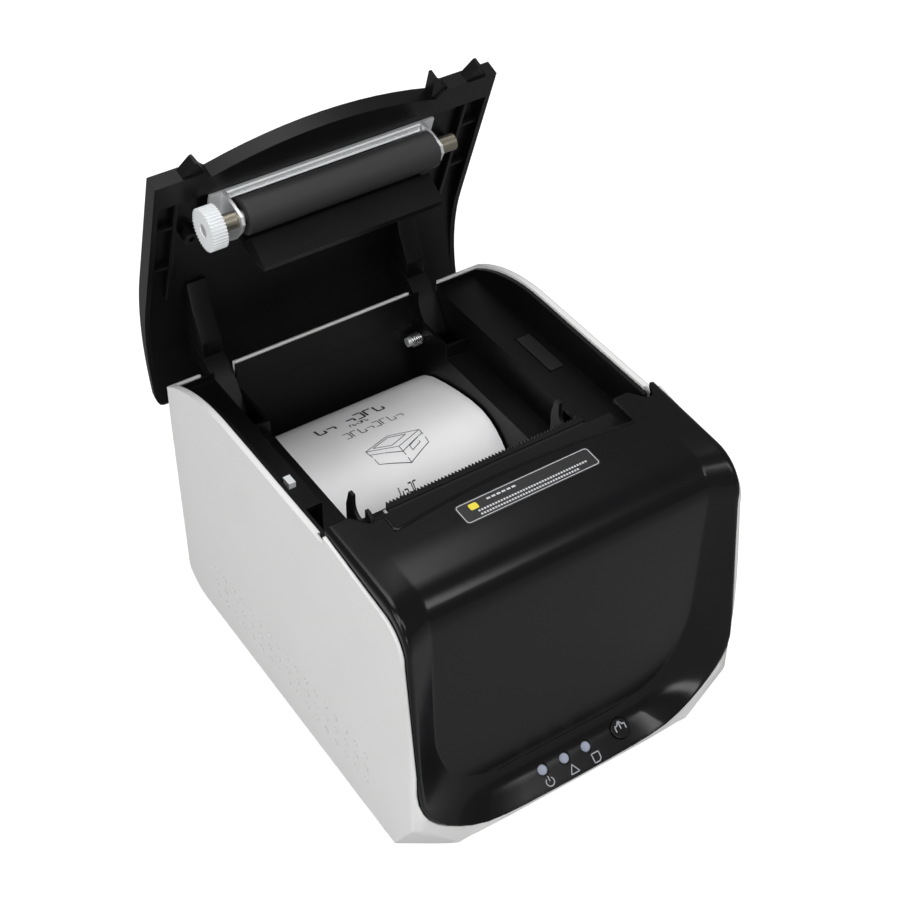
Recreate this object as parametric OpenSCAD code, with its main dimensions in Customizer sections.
// Desktop receipt printer with its paper lid standing open.
// The frame: +X to the right as the user faces the front, the front faces -Y, +Z is up.
// The origin is on the underside of the base plate, on the centre line between the sides.
// Side views are drawn as [y, z] points, front views as [x, z] and plans as [x, y].

/* [Casing] */
// Width over the white side panels
body_w = 144; // [140:1:150]
// From the origin forward to the chin
front_reach = 89.2; // [88:0.2:92]
// From the origin back to the rear rim
back_reach = 89; // [87:0.5:91]
// How far the rear wall bulges behind its rim near the foot
back_bulge = 4.5; // [2:0.5:6]
// Height of the level part of the side rims
rim_h = 120.3; // [119.5:0.1:121]
// Height of the rim along the rear wall
back_rim_h = 105.5; // [105:0.1:106.5]
// Wall of the white casing
wall = 2.4; // [2:0.1:2.6]
// Height of the white lip under the front cover
lip_h = 6.4; // [5:0.1:7]

/* [Front cover] */
// Height of the cover where it meets the lid
cover_h = 126.8; // [126.4:0.1:127.2]
// Half width of the cover, inside the white side panels
cover_x = 70.4; // [70:0.1:70.6]
// Cover's rear edge beside the paper exit
cover_back_y = -29.2; // [-29.6:0.1:-29]
// Cover's rear edge across the paper exit
exit_y = -39; // [-40:0.1:-38]
// Distance of the flat panel behind the chin
panel_y = -76.9; // [-77.4:0.1:-76.4]
// Wall of the black mouldings
shell = 2.2; // [1.8:0.1:2.4]

/* [Lid] */
// Angle that the lid turns through between open and shut
lid_turn = 70.7; // [70:0.1:71]
// Height of the lid's hinge axis
hinge_z = 86; // [85.5:0.1:86.5]
// Distance of the hinge axis behind the origin
hinge_y = 81.7; // [81.4:0.1:82]
// Diameter of the hinge pins
hinge_pin_d = 4; // [3.6:0.1:4.4]
// Width of each hinge arm
arm_w = 10; // [8:0.5:11]

/* [Print path] */
// Middle of the paper path, to the right of the origin
path_x = -2; // [-2.5:0.1:-1.5]
// Height of the platen axis with the lid shut
platen_z = 109; // [108.8:0.1:109.2]
// Distance of the platen axis from the origin with the lid shut
platen_y = -13; // [-13.2:0.1:-12.8]
// Diameter of the rubber platen
platen_d = 14; // [13:0.2:14.4]
// Length of the rubber platen
platen_len = 80; // [78:0.5:81]
// Teeth of the platen gear
platen_teeth = 39; // [39:1:39]
// Teeth of the idler gear
idler_teeth = 65; // [65:1:65]
// Teeth of the stepper pinion
pinion_teeth = 15; // [15:1:15]
// Module of the paper feed gears
feed_module = 0.4; // [0.4:0.1:0.4]
// Stroke of the moving cutter blade
cutter_stroke = 9.4; // [8:0.2:9.4]

/* [Paper] */
// Width of the paper
paper_w = 79.5; // [78:0.5:79.5]
// Diameter of the part-used roll
roll_d = 58; // [50:1:60]
// Outer diameter of the roll's cardboard core
core_d = 18; // [16:1:24]
// Thickness drawn for the loose paper
web_t = 0.4; // [0.3:0.1:0.5]

/* [Controls] */
// Diameter of the paper feed button
button_d = 8; // [7:0.2:9]
// Travel of the paper feed button
button_travel = 0.8; // [0.5:0.1:1]
// Diameter of the indicator lights
led_d = 4; // [3.6:0.1:4.4]
// Distance between two indicator lights
led_pitch = 10; // [9.5:0.1:10.5]
// Swing of the power rocker
rocker_swing = 14; // [10:1:16]

/* [Hidden] */

$fn = 64;
gap = 0.3;                 // clearance between separate bodies
fit = 0.05;                // radial running clearance of a shaft
side_x = body_w / 2;
back_y = back_reach + back_bulge;
front_y = -front_reach;
inner_x = side_x - wall;   // inside face of the side walls
white = [0.86, 0.86, 0.85];
black = [0.10, 0.10, 0.11];
soft_black = [0.15, 0.15, 0.16];
steel = [0.70, 0.71, 0.72];
dark_steel = [0.38, 0.38, 0.40];
nylon = [0.90, 0.91, 0.91];
rubber = [0.12, 0.12, 0.12];
paper = [0.88, 0.88, 0.87];
board_green = [0.08, 0.32, 0.20];

// ---------- drawing helpers ----------

function arc(c, r, a0, a1, n = 12) =
    [for (i = [0:n]) let (a = a0 + (a1 - a0) * i / n) [c[0] + r * cos(a), c[1] + r * sin(a)]];
function oval(c, rx, ry, a0, a1, n = 12) =
    [for (i = [0:n]) let (a = a0 + (a1 - a0) * i / n) [c[0] + rx * cos(a), c[1] + ry * sin(a)]];
function flip_x(pts) = [for (i = [len(pts) - 1:-1:0]) [-pts[i][0], pts[i][1]]];

// A side view outline [y, z] given a width from x0 to x1.
module side_slab(pts, x0, x1) {
    translate([x0, 0, 0]) rotate([90, 0, 90]) linear_extrude(x1 - x0) polygon(pts);
}

// A front view outline [x, z] given a depth from y0 to y1.
module front_slab(pts, y0, y1) {
    translate([0, y1, 0]) rotate([90, 0, 0]) linear_extrude(y1 - y0) polygon(pts);
}

// A plan outline [x, y] given a height from z0 to z1.
module plan_slab(pts, z0, z1) {
    translate([0, 0, z0]) linear_extrude(z1 - z0) polygon(pts);
}

module box(x0, x1, y0, y1, z0, z1) {
    translate([x0, y0, z0]) cube([x1 - x0, y1 - y0, z1 - z0]);
}

// A round bar along X from x0 to x1, at [y, z].
module bar_x(x0, x1, at, d) {
    translate([x0, at[0], at[1]]) rotate([0, 90, 0]) cylinder(h = x1 - x0, d = d);
}

// A round bar along Y from y0 to y1, at [x, z].
module bar_y(y0, y1, at, d) {
    translate([at[0], y0, at[1]]) rotate([-90, 0, 0]) cylinder(h = y1 - y0, d = d);
}

// Turns what is drawn with the lid shut to where it stands with the lid open.
module lid_open() {
    translate([0, hinge_y, hinge_z]) rotate([-lid_turn, 0, 0]) translate([0, -hinge_y, -hinge_z])
        children();
}

// A spur gear outline with straight-flanked teeth, centred on the origin.
module gear_outline(teeth, mod) {
    tip_r = mod * (teeth + 1.8) / 2;
    root_r = mod * (teeth - 2.3) / 2;
    pitch_a = 360 / teeth;
    polygon([for (i = [0:teeth - 1]) for (p = [[root_r, -0.33], [tip_r, -0.14], [tip_r, 0.14],
        [root_r, 0.33]]) let (a = (i + p[1]) * pitch_a) [p[0] * cos(a), p[0] * sin(a)]]);
}

// A gear on an axis along X, with its bore, between x0 and x1. phase turns it by that angle.
module gear_x(teeth, mod, at, x0, x1, bore_d, phase = 0) {
    difference() {
        translate([x0, at[0], at[1]]) rotate([0, 90, 0]) rotate(phase)
            linear_extrude(x1 - x0) gear_outline(teeth, mod);
        bar_x(x0 - 1, x1 + 1, at, bore_d);
    }
}

// A pan-head screw that points down from z, with a slot across its head.
module screw_down(at, d, len) {
    head_d = d * 1.9;
    head_h = d * 0.6;
    translate(at) difference() {
        union() {
            translate([0, 0, -len]) cylinder(h = len, d = d);
            cylinder(h = head_h, d = head_d);
        }
        translate([-head_d / 2, -0.3, head_h * 0.5]) cube([head_d, 0.6, head_h]);
    }
}

// ---------- outlines shared by the shells ----------

rim_flat_y = 42;           // where the level rim starts to fall to the rear
rim_r = ((back_reach - rim_flat_y) * (back_reach - rim_flat_y) + (rim_h - back_rim_h)
    * (rim_h - back_rim_h)) / (2 * (rim_h - back_rim_h));
rim_end_a = acos((back_reach - rim_flat_y) / rim_r);
foot_r = 18;               // rear foot corner, side view
roll_r = 16;               // cover's roll at its outer edges
cover_slope = 1.8;         // fall of the cover's top from its rear edge to the roll
roll_c = [-65.4, cover_h - cover_slope - roll_r];
chin_z = lip_h + 0.3;      // lowest edge of the front cover
corner_w = 40;             // lower corners of the cover, front view
corner_h = 36;
notch_x = 51;              // half width of the paper exit in the cover
horn_left = -55.4;         // horns on the lid that slot into the cover's rear edge
horn_right = 63.2;
horn_y = -34.6;

// The falling part of the rim, front to rear, dropped by d.
function rim_curve(d) = arc([rim_flat_y, rim_h - rim_r], rim_r - d, 90, rim_end_a, 10);

// Side view of the white casing, inset by t.
function casing_side(t) = concat(
    [[cover_back_y, rim_h + 4]], [[rim_flat_y, rim_h + 4]], [[back_reach - t, rim_h + 4]],
    [[back_reach - t, back_rim_h]],
    arc([back_y - foot_r, foot_r], foot_r - t, 0, -90, 8),
    arc([-80, 9], 9 - t, -90, -180, 6),
    [[-87.2 + t, 40]], [[-79.4 + t, 104]],
    arc([-65.4, 105.5], 14 - t, 180, 90, 8));

// Plan of the white casing, inset by t.
function half_plan(t) = concat(
    [[0, front_y + t]],
    [for (x = [12:12:48]) [x, front_y + t + 0.00137 * x * x]],
    arc([side_x - 5, -82.4], 5 - t, -70, 0, 6),
    arc([side_x - 5, back_y - 5], 5 - t, 0, 90, 5));
function casing_plan(t) = concat(half_plan(t), flip_x(half_plan(t)));

// Plan of the opening in the casing floor that the base plate fills, t in from the sides.
base_back_y = 73;
function half_base(t) = concat(
    [for (x = [0:12:48]) [x, front_y + t + 0.00137 * x * x]],
    arc([side_x - 17, -69], 17 - t, -80, 0, 8),
    [[side_x - t, base_back_y - t / 6]]);
function base_plan(t) = concat(half_base(t), flip_x(half_base(t)));

// Front view of the opening that the front cover fills, grown by g.
function cover_front(g) = concat(
    oval([cover_x - corner_w, chin_z + corner_h], corner_w + g, corner_h + g, 0, -90, 10),
    oval([corner_w - cover_x, chin_z + corner_h], corner_w + g, corner_h + g, -90, -180, 10),
    [[-cover_x - g, cover_h + 10]], [[cover_x + g, cover_h + 10]]);

// Side view of the front cover's outside.
cover_side = concat(
    [[cover_back_y, cover_h]], [[cover_back_y, chin_z]],
    [[front_y, chin_z]], [[front_y + 0.8, 40]],
    arc(roll_c, roll_r, 186, 90, 9));

// Side view of the recessed panel: round into the top, flat, then swept forward to the chin.
panel_roll_r = 14;
panel_roll_c = [panel_y + panel_roll_r, 110.4];
scoop_r = 12;
scoop_c = [panel_y - scoop_r, 21.5];
panel_line = concat([[-56, cover_h - 1.3]], arc(panel_roll_c, panel_roll_r, 98, 180, 8),
    arc(scoop_c, scoop_r, 0, -54, 6), [[front_y - 2.7, chin_z - 1]]);

// Half of the crease round the panel as [x, z], and the outer edge of its frame as [x, z, y].
crease = [[58.7, 150], [58.7, 105], [58.2, 88], [57.9, 70], [57.3, 51], [55.5, 44.4],
    [52.4, 35.9], [47, 26.8], [39.3, 20.5], [30, 15], [16, 10], [2, 9]];
rim_edge = [[cover_x, 150, -81.1], [cover_x, 105, -81.4], [cover_x, 88, -83.2],
    [cover_x, 69, -85.2], [cover_x, 52, -87], [cover_x, 43, -87.9], [68.8, 32.5, -88.6],
    [63.6, 22.5, -88.8], [54.5, 14, -89.1], [42, 7.6, front_y], [23, 3.2, front_y],
    [3, 1, front_y]];

// A solid between two half outlines [x, z] that are mirrored to the left, at depths ya and yb.
module ruled(a, b, ya, yb) {
    n = len(a);
    polyhedron(concat([for (p = a) [p[0], ya, p[1]]], [for (p = a) [-p[0], ya, p[1]]],
        [for (p = b) [p[0], yb, p[1]]], [for (p = b) [-p[0], yb, p[1]]]),
        concat([for (i = [0:n - 2]) each [[n + i, i + 1, i], [n + i + 1, i + 1, n + i],
            [2 * n + i + 1, 3 * n + i, 2 * n + i], [2 * n + i + 1, 3 * n + i + 1, 3 * n + i],
            [2 * n + i, i, i + 1], [2 * n + i + 1, 2 * n + i, i + 1],
            [3 * n + i, n + i + 1, n + i], [3 * n + i, 3 * n + i + 1, n + i + 1]]],
            [[3 * n, n, 0], [2 * n, 3 * n, 0], [4 * n - 1, 3 * n - 1, n - 1],
            [2 * n - 1, 4 * n - 1, n - 1]]));
}

// The recess in the cover's front: flat panel inside a frame that slopes out to the sides.
module front_recess() {
    reach = front_y - 4;
    outer = [for (i = [0:len(crease) - 1]) let (q = rim_edge[i],
        k = (reach - panel_y) / (q[2] - panel_y))
        [crease[i][0] + k * (q[0] - crease[i][0]), crease[i][1] + k * (q[1] - crease[i][1])]];
    intersection() {
        union() {
            ruled(crease, outer, panel_y + 0.05, reach);
            box(-crease[0][0], crease[0][0], panel_y - 0.1, -54, 106, 149);
        }
        side_slab(concat(panel_line, [[front_y - 4, 160]], [[-56, 160]]), -120, 120);
    }
}

// ---------- base body ----------

vent_rows = 3;
vent_cols = 17;
panel_cut = [-52, 52, 6.6, 33];   // connector cut-out in the rear wall: x0, x1, z0, z1
switch_cut = [56, 66, 14, 30];  // rocker cut-out in the rear wall: x0, x1, z0, z1
arm_left_x = -51;
arm_right_x = 44;
arm_slot = 15;             // width of the notches that the hinge arms swing through
arm_notch_z = 83;

module rim_space(d) {
    side_slab(concat([[cover_back_y - 1, rim_h + 20], [cover_back_y - 1, rim_h - d]],
        rim_curve(d), [[back_y + 5, back_rim_h - d - 1.6]], [[back_y + 5, rim_h + 20]]),
        -side_x - 5, side_x + 5);
}

// Space beyond the planes that take off the two lower front corners.
corner_cut = 90.3;
module front_corners(d) {
    for (a = [236.3, 303.7]) rotate([0, 25.5, a]) translate([d, -60, -60])
        cube([30, 120, 160]);
}

module outer_casing() {
    color(white) difference() {
        intersection() {
            side_slab(casing_side(0), -side_x, side_x);
            plan_slab(casing_plan(0), 0, rim_h + 10);
        }
        front_corners(corner_cut);
        // The inside, open below for the base plate and above for the lid.
        difference() {
            intersection() {
                side_slab(casing_side(wall), -inner_x, inner_x);
                plan_slab(casing_plan(wall), -1, rim_h + 20);
            }
            front_corners(corner_cut - wall);
        }
        plan_slab(base_plan(6), -1, wall + 1);
        rim_space(0);
        front_slab(cover_front(gap), front_y - 5, cover_back_y + 5);
        box(panel_cut[0], panel_cut[1], back_reach - 6, back_y + 5, panel_cut[2], panel_cut[3]);
        box(switch_cut[0], switch_cut[1], back_reach - 6, back_y + 5, switch_cut[2],
            switch_cut[3]);
        for (x = [arm_left_x, arm_right_x])
            box(x - arm_slot / 2, x + arm_slot / 2, back_reach - 6, back_y + 5, arm_notch_z, rim_h);
        // Shallow oval dimples in slanting rows low on each side.
        for (s = [-1, 1]) for (r = [0:vent_rows - 1]) for (c = [0:vent_cols - 1])
            translate([s * side_x, 62 - c * 7.2, 14 + r * 7 + c * 0.2]) rotate([0, 90, 0])
                cylinder(h = 0.8, d = 2.6, center = true, $fn = 16);
    }
}

// Posts that the base screws reach up into.
posts = [[-44, -58], [44, -58], [-58, 50], [58, 50]];

// Holes for hanging the printer on a bracket.
hang_x = 62;
hang_y = 20;

module base_plate() {
    color(soft_black) difference() {
        plan_slab(base_plan(6.2), 0, wall);
        for (p = posts) translate([p[0], p[1], -1]) cylinder(h = 5, d = 3.2);
        for (x = [-hang_x, hang_x]) for (y = [-hang_y, hang_y]) translate([x, y, -1])
            cylinder(h = 5, d = 3);
    }
}

module rubber_feet() {
    color(rubber) for (x = [-54, 54]) for (y = [-70, 66])
        translate([x, y, -2.2]) cylinder(h = 2.2, d1 = 13, d2 = 14);
}

module base_screws() {
    color(dark_steel) for (p = posts) mirror([0, 0, 1]) screw_down([p[0], p[1], 0], 3, 9);
}

module front_cover() {
    rear_edge = concat(
        [[-cover_x, cover_back_y]], [[horn_left - 5.8, cover_back_y]],
        [[horn_left - 1.3, horn_y - 0.6]], [[-notch_x, horn_y - 0.6]], [[-notch_x, exit_y - 3]],
        [[-notch_x + 3, exit_y - 2.6]], [[-24, exit_y - 0.6]], [[0, exit_y]],
        [[24, exit_y - 0.6]], [[notch_x - 3, exit_y - 2.6]], [[notch_x, exit_y - 3]],
        [[notch_x, cover_back_y]], [[horn_right - 5.9, cover_back_y]],
        [[horn_right - 1.3, horn_y - 0.6]], [[horn_right + 1.3, horn_y - 0.6]],
        [[horn_right + 4.5, cover_back_y]], [[cover_x, cover_back_y]]);
    color(black) difference() {
        intersection() {
            side_slab(cover_side, -cover_x, cover_x);
            front_slab(cover_front(0), front_y - 5, 0);
            plan_slab(concat(rear_edge,
                arc([cover_x - 2.5, -85.2], 2.5, 0, -78, 4),
                [for (x = [60:-12:-60]) [x, front_y + 0.0003 * x * x]],
                arc([2.5 - cover_x, -85.2], 2.5, -102, -180, 4)), 0, 200);
        }
        front_recess();
        // The inside, behind the panel.
        intersection() {
            side_slab(concat([[cover_back_y + 1, cover_h - shell]],
                [[-56, cover_h - 1.5 - shell]],
                arc(panel_roll_c, panel_roll_r - shell, 98, 180, 8),
                arc(scoop_c, scoop_r + shell, 0, -54, 6),
                [[front_y + 3, chin_z]], [[front_y + 3, 2]], [[cover_back_y + 1, 2]]),
                -cover_x + shell, cover_x - shell);
            front_slab(cover_front(-shell), front_y, 5);
        }
        box(-cover_x + shell, cover_x - shell, -80, -20, 0, chin_z + shell);
        // The side walls stop above the floor of the frame.
        box(-cover_x - 1, cover_x + 1, -72, -20, 0, floor_z + 2 + gap);
        // Holes for the lights and the feed button, square to the sloping chin.
        for (i = [0:2]) chin_place(led_x + i * led_pitch, led_up)
            translate([0, 0, -12]) {
                cylinder(h = 20, d = led_d + 2 * gap);
                cylinder(h = 7.5, d = led_d + 2.2);
            }
        chin_place(button_x, led_up) translate([0, 0, -12]) {
            cylinder(h = 20, d = button_d + 2 * gap);
            cylinder(h = 8.9, d = button_d + 2 + 2 * gap);
        }
        plan_slab([[label_x[0], label_y[0]], [label_x[1], label_y[0]], [label_x[1], label_y[1]],
            [label_x[0], label_y[1]]], cover_h - 1.5, cover_h + 1);
    }
}

// The chin slopes down to the front. Its frame has +Z square to the slope.
chin_slope = 35;
chin_at = [-81.8, 11.6];
led_x = -12.5;
button_x = 23.5;
led_up = 0;
module chin_place(x, up) {
    translate([x, chin_at[0], chin_at[1]]) rotate([chin_slope, 0, 0]) translate([0, up, 0])
        children();
}

label_x = [-29, 28];
label_y = [-43.6, -54];

module info_plate() {
    color(black) plan_slab([[label_x[0] + 0.1, label_y[0] - 0.1],
        [label_x[1] - 0.1, label_y[0] - 0.1], [label_x[1] - 0.1, label_y[1] + 0.1],
        [label_x[0] + 0.1, label_y[1] + 0.1]], cover_h - 1.45, cover_h - 0.9);
}

module light_pipes() {
    color([0.62, 0.64, 0.72]) for (i = [0:2]) chin_place(led_x + i * led_pitch, led_up)
        translate([0, 0, -6]) {
            cylinder(h = 5.4, d = led_d);
            cylinder(h = 1.2, d = led_d + 1.6);
        }
}

module button_board() {
    color(board_green) chin_place((led_x + button_x) / 2, led_up) {
        translate([-26, -2, -9.4]) cube([52, 10, 1.6]);
    }
    color(soft_black) chin_place(button_x, led_up)
        translate([0, 0.6, -7.8]) cylinder(h = 1.5, d = 5);
}

module feed_button() {
    color(black) chin_place(button_x, led_up) {
        translate([0, 0, -3.4]) cylinder(h = 4.2, d = button_d);
        translate([0, 0, -4.6]) cylinder(h = 1.2, d = button_d + 2);
        translate([0, 0, -5.2]) cylinder(h = 0.8, d = 3);
    }
}

// ---------- inner frame with the paper bucket ----------

shelf_z = 104;             // top of the shelves beside the bucket
bucket_x = paper_w / 2 + 1;  // half width of the bucket about the paper path
bucket_r = 41.6;           // bucket floor is an arc about the roll
bucket_c = [43.6, 58];
partition_z = 88;          // top of the walls beside the roll
well_x = 51.7;             // half width between the shelves about the paper path
frame_t = 1.4;
liner_x = inner_x - 0.2;
frame_back_y = back_reach - wall - 0.3;
bay_back_y = -2;           // rear side of the bay for the print mechanism
floor_z = 12.6;
boss_z = 94;               // top of the bosses round the hinge pins
hinge_x = 46.9;            // hinge arms about the paper path
pocket_w = arm_w - 1 + 0.6;
pocket_front_y = 62;

// The bucket's section, grown by g all round and open above up to top_z.
function bucket_side(g, top_z) = concat(
    [[bucket_c[0] - bucket_r - g, top_z]],
    arc(bucket_c, bucket_r + g, 180, 360, 24),
    [[bucket_c[0] + bucket_r + g, top_z]]);

// Liner, shelves, well walls and bucket.
module frame_shell() {
    left = path_x - well_x;
    right = path_x + well_x;
    difference() {
        union() {
            intersection() {
                box(-liner_x, liner_x, -27, frame_back_y, shelf_z - 2, rim_h + 1);
                side_slab(concat([[-30, shelf_z - 2]], [[-30, rim_h - 1]], rim_curve(1),
                    [[frame_back_y, shelf_z - 2]]), -80, 80);
            }
            box(left - frame_t, right + frame_t, bay_back_y, frame_back_y, partition_z - 2,
                shelf_z);
            intersection() {
                side_slab(bucket_side(frame_t + 0.4, partition_z), path_x - bucket_x - frame_t,
                    path_x + bucket_x + frame_t);
                box(-80, 80, bay_back_y, frame_back_y, 0, 100);
            }
        }
        box(-liner_x + 1.8, liner_x - 1.8, -40, frame_back_y - 1.8, shelf_z, rim_h + 5);
        box(left, right, bay_back_y - 1, frame_back_y - frame_t, partition_z, rim_h + 5);
        side_slab(bucket_side(0, partition_z + 5), path_x - bucket_x, path_x + bucket_x);
        // The bay for the print mechanism, open to the front.
        box(-60, right, -40, bay_back_y, 92, rim_h + 5);
        box(-63, left, -40, 3, 88, rim_h + 5);
    }
}

module inner_frame() {
    color(soft_black) difference() {
        union() {
            frame_shell();
            // Floor under the mechanism, with posts down to the base plate.
            box(-60, 60, -66, 52, floor_z, floor_z + 2);
            for (p = posts) translate([p[0], p[1], wall])
                cylinder(h = (p[1] < 0 ? floor_z + 1 : shelf_z - 1) - wall, d = 8);
            // Bosses that carry the hinge pins.
            for (s = [-1, 1]) box(path_x + s * hinge_x - pocket_w / 2 - frame_t,
                path_x + s * hinge_x + pocket_w / 2 + frame_t, pocket_front_y, frame_back_y, 74,
                boss_z);
        }
        // Pockets that the hinge arms swing in.
        for (s = [-1, 1]) {
            box(path_x + s * hinge_x - pocket_w / 2, path_x + s * hinge_x + pocket_w / 2,
                pocket_front_y + frame_t, frame_back_y + 2, 76, rim_h + 5);
            bar_x(path_x + s * hinge_x - pocket_w, path_x + s * hinge_x + pocket_w,
                [hinge_y, hinge_z], hinge_pin_d);
        }
        // Slot for the lid switch, seat for the insert, screw holes in the posts.
        box(switch_x - 1.9, switch_x + 1.9, switch_y - 3, switch_y + 3, 90, shelf_z + 1);
        box(insert_x[0], insert_x[1], insert_y[0], insert_y[1], shelf_z - 0.8, shelf_z + 1);
        for (p = posts) translate([p[0], p[1], 0]) cylinder(h = 10, d = 3);
        for (x = chassis_hole_x) translate([x, chassis_hole_y, floor_z - 1])
            cylinder(h = 5, d = 3);
    }
}

switch_x = -58.5;
switch_y = 18;
insert_x = [57.4, 64.8];
insert_y = [17, 41.4];

module shelf_insert() {
    color(black) box(insert_x[0] + 0.5, insert_x[1] - 0.5, insert_y[0] + 0.5, insert_y[1] - 0.5,
        shelf_z - 0.8, shelf_z + 0.2);
}

module hinge_pins() {
    color(steel) for (s = [-1, 1]) {
        inner_end = s > 0 ? 6.5 : 0;
        bar_x(path_x + s * hinge_x - pocket_w / 2 - frame_t - inner_end,
            path_x + s * hinge_x + pocket_w / 2 + frame_t, [hinge_y, hinge_z], hinge_pin_d);
    }
}

// Torsion spring on the inner end of the right-hand pin.
module lid_spring() {
    spring_x = path_x + hinge_x - pocket_w / 2 - frame_t;
    wire_d = 0.8;
    color(steel) {
        for (i = [0:4]) translate([spring_x - 0.8 - i * (wire_d + 0.15), hinge_y, hinge_z])
            rotate([0, 90, 0]) rotate_extrude() translate([hinge_pin_d / 2 + 0.6, 0])
                circle(d = wire_d, $fn = 16);
        bar_x(spring_x - 0.8 - 4 * (wire_d + 0.15), spring_x - 0.8, [hinge_y + hinge_pin_d / 2
            + 0.6, hinge_z], 0.6);
    }
}

// ---------- print mechanism ----------

chassis_hole_x = [path_x - 36, path_x + 36];
chassis_hole_y = -50;

plate_x = 44.4;            // inside of the chassis side plates about the paper path
plate_t = 1.4;
chassis_front_y = -64;
cross_y = -37;
deck_z = 96;
seat_d = 8;                // platen bearing
idler_at = [-24, 90.1];
pinion_mesh = feed_module * (idler_teeth + pinion_teeth) / 2 + 0.12;
pinion_a = 236;            // direction from the idler to the pinion, side view
pinion_at = [idler_at[0] + pinion_mesh * cos(pinion_a), idler_at[1] + pinion_mesh * sin(pinion_a)];
gear_x0 = -57.6;
gear_x1 = -51.6;

module head_chassis() {
    left = path_x - plate_x;
    right = path_x + plate_x;
    seat = concat([[platen_y - seat_d / 2 - gap, 120]],
        arc([platen_y, platen_z], seat_d / 2 + gap, 180, 360, 12),
        [[platen_y + seat_d / 2 + gap, 120]]);
    side = [[chassis_front_y, floor_z + 2], [-4, floor_z + 2], [-4, 106], [-6.2, 113.5],
        [-8.4, 113.5], [-19, 113.5], [-24, 110], [-30, 110], [-34, 115], [chassis_front_y, 115]];
    color(steel) difference() {
        union() {
            for (x = [left - plate_t, right]) side_slab(side, x, x + plate_t);
            box(left, right, cross_y, cross_y + plate_t, floor_z + 2, 110.7);
            box(left, right, chassis_front_y, cross_y, deck_z, deck_z + plate_t);
            box(left, right, chassis_front_y, -4, floor_z + 2, floor_z + 2 + plate_t);
            for (x = [-18, 6]) box(x, x + 4, cutter_at[0] - 8, cutter_at[0] + 8,
                deck_z + plate_t, cutter_at[1] - 3);
            // Stub axle for the idler gear.
            bar_x(gear_x0 + 0.6, left - plate_t, idler_at, 4);
        }
        for (x = [left - plate_t - 1, right - 1]) side_slab(seat, x, x + plate_t + 2);
        bar_x(left - plate_t - 1, left + 1, pinion_at, 8);
        bar_x(-25, 20, cutter_at, 16);
        box(left - 0.1, left + 15, cross_y - 1, cross_y + 3, pinion_at[1] - 11,
            pinion_at[1] + 11);
        for (x = chassis_hole_x) translate([x, chassis_hole_y, 0]) cylinder(h = 20, d = 3);
    }
}

module chassis_screws() {
    color(dark_steel) for (x = chassis_hole_x)
        screw_down([x, chassis_hole_y, floor_z + 2 + plate_t], 2.9, 3.2);
}

band_z = 119.4;
module exit_band() {
    edge = [[-notch_x + 0.2, exit_y - 3], [-notch_x + 3, exit_y - 2.6], [-24, exit_y - 0.6],
        [0, exit_y], [24, exit_y - 0.6], [notch_x - 3, exit_y - 2.6], [notch_x - 0.2, exit_y - 3]];
    color(soft_black) {
        plan_slab(concat(edge, [[notch_x - 0.2, tear_y[0]],
            [-notch_x + 0.2, tear_y[0]]]), band_z - 1.4, band_z);
        plan_slab(concat(edge, [for (i = [len(edge) - 1:-1:0]) [edge[i][0], edge[i][1] - 1.2]]),
            band_z - 1.4, cover_h - shell - 1.2);
    }
}

tear_y = [-28, -24.4];
tear_teeth = 84;
tear_pitch = 1;
module tear_bar() {
    half = tear_teeth * tear_pitch / 2;
    color(dark_steel) plan_slab(concat([[path_x - half, tear_y[0]]],
        [for (i = [0:tear_teeth - 1]) for (k = [0, 0.5])
            [path_x - half + (i + k) * tear_pitch, k == 0 ? tear_y[1] - 0.8 : tear_y[1]]],
        [[path_x + half, tear_y[1] - 0.8]], [[path_x + half, tear_y[0]]]), band_z - 1.4,
        band_z - 0.4);
}

head_half = 40;
module print_head() {
    color([0.80, 0.78, 0.72]) box(path_x - head_half, path_x + head_half, -21.6, -20.5, 97, 113);
    color(dark_steel) box(path_x - 30, path_x + 30, -21.6, -20.2, 90, 96);
}

module head_sink() {
    color([0.75, 0.76, 0.77]) difference() {
        box(path_x - head_half - 1, path_x + head_half + 1, -28, -21.6, 89, 114);
        for (i = [-4:4]) box(path_x + i * 9 - 3, path_x + i * 9 + 3, -29, -24, 92, 98);
    }
}

module head_springs() {
    free = cross_y + plate_t;
    turns = 5;
    wire_d = 0.8;
    pitch = (-28 - free) / turns;
    color(steel) for (x = [path_x - 24, path_x + 24]) {
        bar_y(free, -28, [x, 104], 3.2);
        for (i = [0:turns - 1]) translate([x, free + (i + 0.5) * pitch, 104]) rotate([-90, 0, 0])
            rotate_extrude() translate([1.9, 0]) circle(d = wire_d, $fn = 12);
    }
}

// Moving cutter blade: a plate under the exit band with a rack under it.
blade_z = 116.4;
blade_t = 0.8;
cutter_module = 1;
cutter_teeth = 14;
cutter_at = [-49, 107.2];
rack_x = [-31, -25];
rack_pitch = PI * cutter_module;
module moving_blade() {
    pitch_line = cutter_at[1] + cutter_module * cutter_teeth / 2 + 0.1;
    root = pitch_line + 1.15 * cutter_module;
    tip = pitch_line - 0.85 * cutter_module;
    first = -4;
    last = 1;
    color(steel) {
        plan_slab([[path_x - 39, -64], [path_x + 39, -64], [path_x + 39, -23.4],
            [path_x, -22.6], [path_x - 39, -23.4]], blade_z, blade_z + blade_t);
        side_slab(concat(
            [[cutter_at[0] + (first - 0.5) * rack_pitch, blade_z]],
            [for (i = [first:last]) for (p = [[-0.5, root], [0.17 - 0.5, root], [0.36 - 0.5, tip],
                [0.64 - 0.5, tip], [0.83 - 0.5, root]])
                [cutter_at[0] + (i + 0.5 + p[0]) * rack_pitch, p[1]]],
            [[cutter_at[0] + (last + 1) * rack_pitch, root]],
            [[cutter_at[0] + (last + 1) * rack_pitch, blade_z]]), rack_x[0], rack_x[1]);
    }
}

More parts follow.
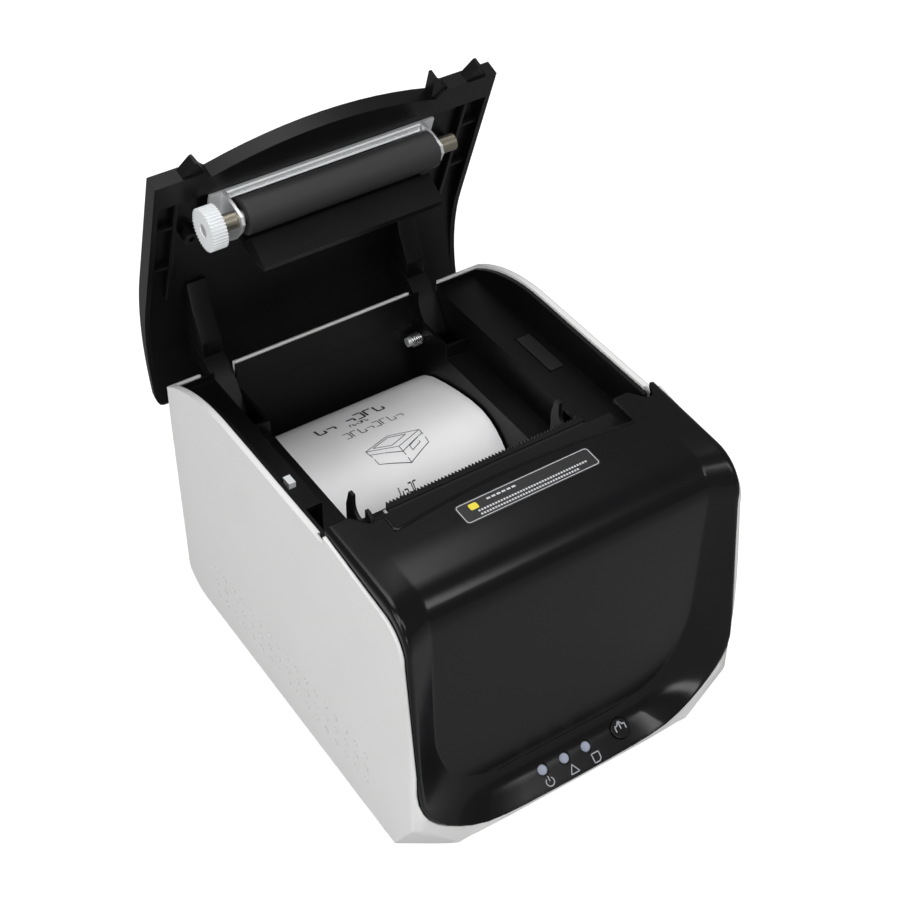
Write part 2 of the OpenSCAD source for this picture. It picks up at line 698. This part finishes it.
module cutter_guides() {
    left = path_x - plate_x;
    right = path_x + plate_x;
    color(soft_black) {
        for (s = [-1, 1]) {
            inner = path_x + s * (39 + 0.4);
            outer = s < 0 ? left : right;
            a = min(inner, outer);
            b = max(inner, outer);
            box(a, b, -62, -30, 111, blade_z + 1.2);
            box(min(outer, path_x + s * 37.5), max(outer, path_x + s * 37.5), -62, -30, 111,
                blade_z - 0.35);
        }
    }
}

module cutter_gear() {
    color(nylon) difference() {
        gear_x(cutter_teeth, cutter_module, cutter_at, rack_x[0] - 0.5, rack_x[1] + 0.5,
            3 + 2 * fit, 180);
    }
}

module cutter_motor() {
    color(dark_steel) {
        bar_x(-22.5, 12, cutter_at, 15.6);
        bar_x(-24, -22.5, cutter_at, 7);
        bar_x(rack_x[0] - 1.5, -24, cutter_at, 3);
    }
}

module feed_motor() {
    left = path_x - plate_x;
    color(dark_steel) {
        bar_x(left, left + 14, pinion_at, 20);
        bar_x(left - plate_t, left, pinion_at, 7.8);
    }
}

module motor_pinion() {
    color([0.78, 0.66, 0.36]) {
        gear_x(pinion_teeth, feed_module, pinion_at, gear_x0, gear_x1, 2, pinion_a + 270);
        bar_x(gear_x0, path_x - plate_x - plate_t - gap, pinion_at, 2);
    }
}

module idler_gear() {
    color(nylon) {
        gear_x(idler_teeth, feed_module, idler_at, gear_x0 + 0.6, gear_x1 - 0.4, 4 + 2 * fit,
            pinion_a + 90 + 180 / idler_teeth);
    }
}

module paper_sensor() {
    color(black) box(path_x - 5, path_x + 5, -19.4, -14, 86, 94);
    color(board_green) box(path_x - 7, path_x + 7, -20, -19.4, 82, 95);
}

module buzzer() {
    color(black) difference() {
        translate([40, -30, board_z + board_t]) cylinder(h = 4.2, d = 9);
        translate([40, -30, board_z + board_t + 3.4]) cylinder(h = 2, d = 2);
    }
}

// ---------- electronics and sockets ----------

board_z = 5.4;
board_t = 1.6;
board_x = [-52, 52];
board_y = [-44, 84];
socket_y = [70, 89.7];       // sockets run through the rear panel
socket_z = board_z + board_t;
power_x = -38;
usb_x = -16;
network_x = 8;
drawer_x = 33;

module main_board() {
    color(board_green) difference() {
        box(board_x[0], board_x[1], board_y[0], board_y[1], board_z, board_z + board_t);
        for (x = [-46, 46]) for (y = [-38, 64]) translate([x, y, 0]) cylinder(h = 20, d = 3.2);
    }
    color(soft_black) for (x = [-46, 46]) for (y = [-38, 64])
        translate([x, y, 2.4]) cylinder(h = board_z - 2.4, d = 6);
}

module board_parts() {
    top = board_z + board_t;
    color(black) {
        box(-12, 2, -24, -10, top, top + 1.6);
        box(18, 28, -20, -10, top, top + 1.4);
        for (i = [0:4]) box(-44 + i * 7, -39 + i * 7, 20, 24, top, top + 1.5);
        box(-6, 16, 42, 50, top, top + 4);
    }
    color(steel) for (x = [-40, -28]) translate([x, 44, top]) cylinder(h = 4.6, d = 8);
    color(nylon) for (i = [0:2]) box(-20 + i * 14, -10 + i * 14, -40, -35, top, top + 4.6);
}

// A socket shell open to the rear: outside w by h, opening ow by oh, depth d.
module socket_shell(x, w, h, ow, oh, depth) {
    difference() {
        box(x - w / 2, x + w / 2, socket_y[0], socket_y[1], socket_z, socket_z + h);
        box(x - ow / 2, x + ow / 2, socket_y[1] - depth, socket_y[1] + 1,
            socket_z + (h - oh) / 2, socket_z + (h + oh) / 2);
    }
}

module power_socket() {
    color(black) difference() {
        box(power_x - 7, power_x + 7, socket_y[0], socket_y[1], socket_z, socket_z + 14);
        bar_y(socket_y[1] - 9, socket_y[1] + 1, [power_x, socket_z + 7], 10);
    }
    color(steel) for (a = [-50, 0, 50]) bar_y(socket_y[1] - 9, socket_y[1] - 3,
        [power_x + 3 * sin(a), socket_z + 7 + 3 * cos(a)], 1.4);
}

module usb_socket() {
    color(steel) socket_shell(usb_x, 12, 11, 8.6, 7.6, 12);
    color(nylon) box(usb_x - 2.8, usb_x + 2.8, socket_y[1] - 12, socket_y[1] - 2.5,
        socket_z + 4.2, socket_z + 6.8);
}

module network_socket() {
    color(steel) socket_shell(network_x, 16, 13.5, 12, 8.5, 14);
    color([0.75, 0.62, 0.3]) for (i = [-3:3]) box(network_x + i * 1.3 - 0.25,
        network_x + i * 1.3 + 0.25, socket_y[1] - 14, socket_y[1] - 8, socket_z + 9.4,
        socket_z + 9.9);
}

module drawer_socket() {
    color(black) socket_shell(drawer_x, 13.5, 13, 10, 7.6, 14);
    color([0.75, 0.62, 0.3]) for (i = [-2:2]) box(drawer_x + i * 1.3 - 0.25,
        drawer_x + i * 1.3 + 0.25, socket_y[1] - 14, socket_y[1] - 8, socket_z + 8.7,
        socket_z + 9.2);
}

module connector_panel() {
    g = 0.25;
    color(soft_black) difference() {
        union() {
            box(panel_cut[0] + g, panel_cut[1] - g, 88.2, 89.8, panel_cut[2] + 1,
                panel_cut[3] + 3);
            box(panel_cut[0] + g, panel_cut[1] - g, 89, 90.1, panel_cut[3] + 0.3,
                panel_cut[3] + 3);
        }
        for (s = [[power_x, 14, 14], [usb_x, 12, 11], [network_x, 16, 13.5],
            [drawer_x, 13.5, 13]])
            box(s[0] - s[1] / 2, s[0] + s[1] / 2, 87, 93, socket_z - 2, socket_z + s[2]);
    }
}

// Power rocker in the rear wall, swinging about a level pin.
rocker_c = [(switch_cut[0] + switch_cut[1]) / 2, 89.5, (switch_cut[2] + switch_cut[3]) / 2];
module rocker_housing() {
    w = switch_cut[1] - switch_cut[0] - 0.4;
    h = switch_cut[3] - switch_cut[2] - 0.4;
    x = rocker_c[0];
    z = rocker_c[2];
    color(black) difference() {
        union() {
            box(x - w / 2, x + w / 2, 76, 93.7, z - h / 2, z + h / 2);
            box(x - w / 2 - 1.2, x + w / 2 + 1.2, 93.6, 94.6, z - h / 2 - 1.2, z + h / 2 + 1.2);
        }
        box(x - w / 2 + 1.2, x + w / 2 - 1.2, 80, 96, z - h / 2 + 1.2, z + h / 2 - 1.2);
        bar_x(x - w, x + w, [rocker_c[1], z], 2);
    }
}

module power_rocker() {
    w = switch_cut[1] - switch_cut[0] - 0.4 - 2.4 - 2 * gap;
    h = switch_cut[3] - switch_cut[2] - 0.4 - 2.4;
    x = rocker_c[0];
    z = rocker_c[2];
    tilt = rocker_swing / 2;
    color([0.20, 0.20, 0.21]) {
        translate([0, rocker_c[1], z]) rotate([tilt, 0, 0]) side_slab([
            [-3, -3], [-3, 3], [3.6, h / 2 - 1], [5.6, h / 2 - 1], [4.4, 0],
            [5.6, 1 - h / 2], [3.6, 1 - h / 2]], x - w / 2, x + w / 2);
        bar_x(x - w / 2 - 1.4, x + w / 2 + 1.4, [rocker_c[1], z], 2 - 2 * fit);
    }
}

// ---------- paper ----------

roll_c2 = [bucket_c[0], bucket_c[1] - bucket_r + roll_d / 2 + 0.4];

module paper_roll() {
    color(paper) difference() {
        bar_x(path_x - paper_w / 2, path_x + paper_w / 2, roll_c2, roll_d);
        bar_x(path_x - paper_w / 2 - 1, path_x + paper_w / 2 + 1, roll_c2, core_d);
    }
}

module paper_core() {
    color([0.62, 0.50, 0.36]) difference() {
        bar_x(path_x - paper_w / 2, path_x + paper_w / 2, roll_c2, core_d);
        bar_x(path_x - paper_w / 2 - 1, path_x + paper_w / 2 + 1, roll_c2, core_d - 3);
    }
}

// The loose outer turn of paper: over the roll from the rear, down in front of it.
loose_turn = [[84.4, 60], [81.4, 65.6], [77, 69.4], [71, 72.8], [61, 76.2], [51, 78.8], [42, 80.6],
    [34.4, 81], [29, 79.9], [24.8, 78], [20.6, 75], [17.2, 71.4], [13.8, 66.6], [10.8, 61],
    [8.8, 54.5], [8.4, 46]];
function ribbon(pts, t) = concat(pts, [for (i = [len(pts) - 1:-1:0]) let (
    d = pts[min(i + 1, len(pts) - 1)] - pts[max(i - 1, 0)],
    n = [-d[1], d[0]] / norm(d)) pts[i] + t * n]);

module paper_web() {
    color(paper) side_slab(ribbon(loose_turn, web_t), path_x - paper_w / 2,
        path_x + paper_w / 2);
}

// ---------- lid, drawn shut and then turned open ----------

lid_x = side_x - 0.6;
lid_curve_y = 30;
lid_end = [89, 108.4];
lid_drop = cover_h - lid_end[1];
lid_r = ((lid_end[0] - lid_curve_y) * (lid_end[0] - lid_curve_y) + lid_drop * lid_drop)
    / (2 * lid_drop);
lid_end_a = acos((lid_end[0] - lid_curve_y) / lid_r);
function lid_top(t) = concat([[-50, cover_h - t]],
    arc([lid_curve_y, cover_h - lid_r], lid_r - t, 90, lid_end_a, 12));

// Front edge of the lid in plan: a bowed middle with a tongue on each side.
bow_half = 47;
bow_end_y = -25.4;
bow_mid_y = -33;
function bow(x) = bow_mid_y + (bow_end_y - bow_mid_y) * (x / bow_half) * (x / bow_half);
lid_front_y = cover_back_y + gap + 0.2;
land_y = -16.4;            // rear end of the solid land behind the lid's front edge
horn_z = 121.4;

module lid_shell() {
    front_edge = concat(
        [[-lid_x, lid_front_y]], [[path_x - bow_half - 3, lid_front_y]],
        [[path_x - bow_half - 1, bow_end_y - 1]],
        [for (i = [-6:6]) [path_x + i * bow_half / 6, bow(i * bow_half / 6)]],
        [[path_x + bow_half + 1, bow_end_y - 1]], [[path_x + bow_half + 3, lid_front_y]],
        [[lid_x, lid_front_y]]);
    lid_rear = [for (s = [1, -1]) each s > 0
        ? arc([lid_x - 5, 86], 5, 0, 90, 4) : arc([5 - lid_x, 86], 5, 90, 180, 4)];
    // Horns that slot into the cover's rear edge when the lid is shut.
    left_horn = [[-66, lid_front_y + 4], [-66, lid_front_y], [horn_left - 5, lid_front_y],
        [horn_left - 0.5, horn_y], [horn_left + 0.5, horn_y], [-51.6, lid_front_y],
        [-51.6, lid_front_y + 4]];
    right_horns = [[43, lid_front_y + 4], [42.6, horn_y - 1.8], [43.8, horn_y - 1.8], [47, -31],
        [50, lid_front_y], [horn_right - 5.2, lid_front_y], [horn_right - 0.6, horn_y],
        [horn_right + 0.6, horn_y], [horn_right + 3.8, lid_front_y],
        [horn_right + 3.8, lid_front_y + 4]];
    color(black) lid_open() difference() {
        union() {
            intersection() {
                side_slab(concat(lid_top(0), [[back_reach + 1.8, lid_end[1] - 1]],
                    [[back_reach + 1.8, back_rim_h + gap]],
                    [for (i = [10:-1:0]) rim_curve(-gap)[i]], [[-50, rim_h + gap]]),
                    -lid_x, lid_x);
                plan_slab(concat(front_edge, lid_rear), 80, 140);
            }
            plan_slab(left_horn, horn_z, cover_h - 0.8);
            plan_slab(right_horns, horn_z, cover_h - 0.8);
        }
        // The hollow underside.
        intersection() {
            side_slab(concat([[land_y, 110], [land_y, cover_h - shell]],
                [[lid_curve_y, cover_h - shell]],
                arc([lid_curve_y, cover_h - lid_r], lid_r - shell, 88, lid_end_a + 1, 12),
                [[back_reach - 0.8, 100]]), -lid_x + shell, lid_x - shell);
            box(-80, 80, -60, back_reach - 0.8, 90, 140);
        }
    }
}

arm_left = path_x - hinge_x;
arm_right = path_x + hinge_x;
module hinge_arms() {
    arm = [[78.4, 83.6], [69.8, 93.6], [66, 103], [66.5, 117.4], [77, 113.2], [73.6, 104.8],
        [75.4, 98.6], [84.6, 89]];
    w = arm_w - 1;
    color(soft_black) lid_open() {
        difference() {
            union() {
                for (x = [arm_left, arm_right]) {
                    side_slab(arm, x - w / 2, x + w / 2);
                    bar_x(x - w / 2, x + w / 2, [hinge_y, hinge_z], 8.4);
                }
            }
            for (x = [arm_left, arm_right])
                bar_x(x - w, x + w, [hinge_y, hinge_z], hinge_pin_d + 2 * fit);
        }
    }
}

bracket_z = 119.6;
ear_x = 42;
module platen_bracket() {
    ear = [[-15.6, bracket_z + 1.2], [-17, 113], [-17.4, 106], [-15, 104], [-10, 104.6],
        [-2, 108], [4.5, 112.5], [5, bracket_z + 1.2]];
    color(steel) lid_open() difference() {
        union() {
            box(path_x - 47.5, path_x + 47.5, -15.6, 12, bracket_z, bracket_z + 1.2);
            for (s = [-1, 1]) side_slab(ear, path_x + s * ear_x - 0.6, path_x + s * ear_x + 0.6);
            for (s = [-1, 1]) box(path_x + s * 36 - 5, path_x + s * 36 + 5, 1, 12,
                bracket_z + 1.2, cover_h - shell);
        }
        bar_x(path_x - 60, path_x + 60, [platen_y, platen_z], seat_d - 1.6);
        for (s = [-1, 1]) translate([path_x + s * 36, 8, 100]) cylinder(h = 24.4, d = 2.4);
    }
}

module bracket_screws() {
    color(steel) lid_open() for (s = [-1, 1]) translate([path_x + s * 36, 8, bracket_z])
        rotate([180, 0, 0]) screw_down([0, 0, 0], 2.4, 4.6);
}

module fixed_blade() {
    color([0.82, 0.83, 0.84]) lid_open() box(path_x - 40, path_x + 40, -14, -1, bracket_z - 1,
        bracket_z);
}

module paper_guide() {
    color(black) lid_open() side_slab([[-5, 104.6], [-1.6, 93], [1, 93], [4, 100],
        [4, bracket_z], [0.6, bracket_z], [0.6, 107.5]], path_x - 38.2, path_x + 38.2);
}

module platen_bearings() {
    color([0.72, 0.68, 0.58]) lid_open() difference() {
        union() {
            bar_x(path_x - 48, path_x - ear_x + 1.2, [platen_y, platen_z], seat_d - 1.6);
            bar_x(path_x + ear_x - 1.2, path_x + 50, [platen_y, platen_z], seat_d - 1.6);
        }
        bar_x(path_x - 60, path_x + 60, [platen_y, platen_z], 5 + 2 * fit);
    }
}

module platen_shaft() {
    color(steel) lid_open() bar_x(gear_x0 + 0.2, path_x + 49.6, [platen_y, platen_z], 5);
}

module platen_roller() {
    color(rubber) lid_open() difference() {
        bar_x(path_x - platen_len / 2, path_x + platen_len / 2, [platen_y, platen_z], platen_d);
        bar_x(path_x - 50, path_x + 50, [platen_y, platen_z], 5);
    }
}

module platen_gear() {
    color(nylon) lid_open() {
        gear_x(platen_teeth, feed_module, [platen_y, platen_z], gear_x0, gear_x1, 5, 0);
    }
}

module lid_switch() {
    color(white) {
        box(switch_x - 1.4, switch_x + 1.4, switch_y - 2.3, switch_y + 2.3, 91, shelf_z + 1.8);
    }
}

// ---------- assembly ----------

outer_casing();
base_plate();
rubber_feet();
base_screws();
connector_panel();
front_cover();
info_plate();
light_pipes();
button_board();
inner_frame();
shelf_insert();
head_chassis();
exit_band();
tear_bar();
print_head();
head_sink();
head_springs();
cutter_guides();
cutter_motor();
feed_motor();
main_board();
board_parts();
power_socket();
usb_socket();
network_socket();
drawer_socket();
rocker_housing();
buzzer();
paper_sensor();
hinge_pins();
lid_spring();
chassis_screws();
paper_web();
lid_shell();
hinge_arms();
platen_bracket();
fixed_blade();
paper_guide();
platen_bearings();
bracket_screws();
platen_shaft();
platen_roller();
platen_gear();
paper_roll();
paper_core();
feed_button();
power_rocker();
lid_switch();
moving_blade();
cutter_gear();
idler_gear();
motor_pinion();
